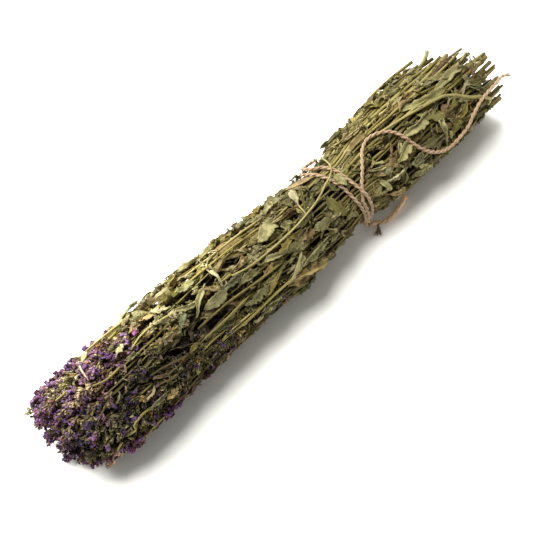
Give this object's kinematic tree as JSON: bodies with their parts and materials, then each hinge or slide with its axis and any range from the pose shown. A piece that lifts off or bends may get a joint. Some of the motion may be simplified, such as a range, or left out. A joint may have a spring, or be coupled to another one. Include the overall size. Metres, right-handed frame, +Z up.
{
  "type": "sage bunch",
  "caption": "Bunch of dried flowering sage, lying down: long square stems with curled leaves and whorled purple flower heads, held near the cut ends by a loose tie of natural twine.",
  "frame": {"origin": "on the surface that the bunch lies on, under the middle of its length", "axes": "+X along the bunch from the flower heads to the cut stem ends, +Y across it, +Z up"},
  "size_m": [0.446, 0.0788, 0.066],
  "materials": {
    "leafy_stem": "dry, dull olive to straw-coloured stems and leaves",
    "flower_spike": "dry, matt purple petals in tan-green calyces",
    "twine": "rough two-ply natural fibre"
  },
  "bodies": {
    "root": {"sprig_01": "leafy_stem", "sprig_02": "leafy_stem", "sprig_03": "leafy_stem", "sprig_04": "leafy_stem", "sprig_05": "leafy_stem", "sprig_06": "leafy_stem", "sprig_07": "leafy_stem", "sprig_08": "leafy_stem", "sprig_09": "leafy_stem", "sprig_10": "leafy_stem", "sprig_11": "leafy_stem", "sprig_12": "leafy_stem", "sprig_13": "leafy_stem", "sprig_14": "leafy_stem", "sprig_15": "leafy_stem", "sprig_16": "leafy_stem", "sprig_17": "leafy_stem", "sprig_18": "leafy_stem", "sprig_19": "leafy_stem", "sprig_20": "leafy_stem", "sprig_21": "leafy_stem", "sprig_22": "leafy_stem", "flower_spike_01": "flower_spike", "flower_spike_02": "flower_spike", "flower_spike_03": "flower_spike", "flower_spike_04": "flower_spike", "flower_spike_05": "flower_spike", "flower_spike_06": "flower_spike", "flower_spike_07": "flower_spike", "flower_spike_08": "flower_spike", "flower_spike_09": "flower_spike", "flower_spike_10": "flower_spike", "flower_spike_11": "flower_spike", "flower_spike_12": "flower_spike", "flower_spike_13": "flower_spike", "flower_spike_14": "flower_spike", "flower_spike_15": "flower_spike", "flower_spike_16": "flower_spike", "flower_spike_17": "flower_spike", "flower_spike_18": "flower_spike", "flower_spike_19": "flower_spike", "flower_spike_20": "flower_spike", "flower_spike_21": "flower_spike", "flower_spike_22": "flower_spike", "twine_tie": "twine", "twine_long_tail": "twine", "twine_short_tail": "twine", "twine_stub": "twine"}
  },
  "joints": []
}
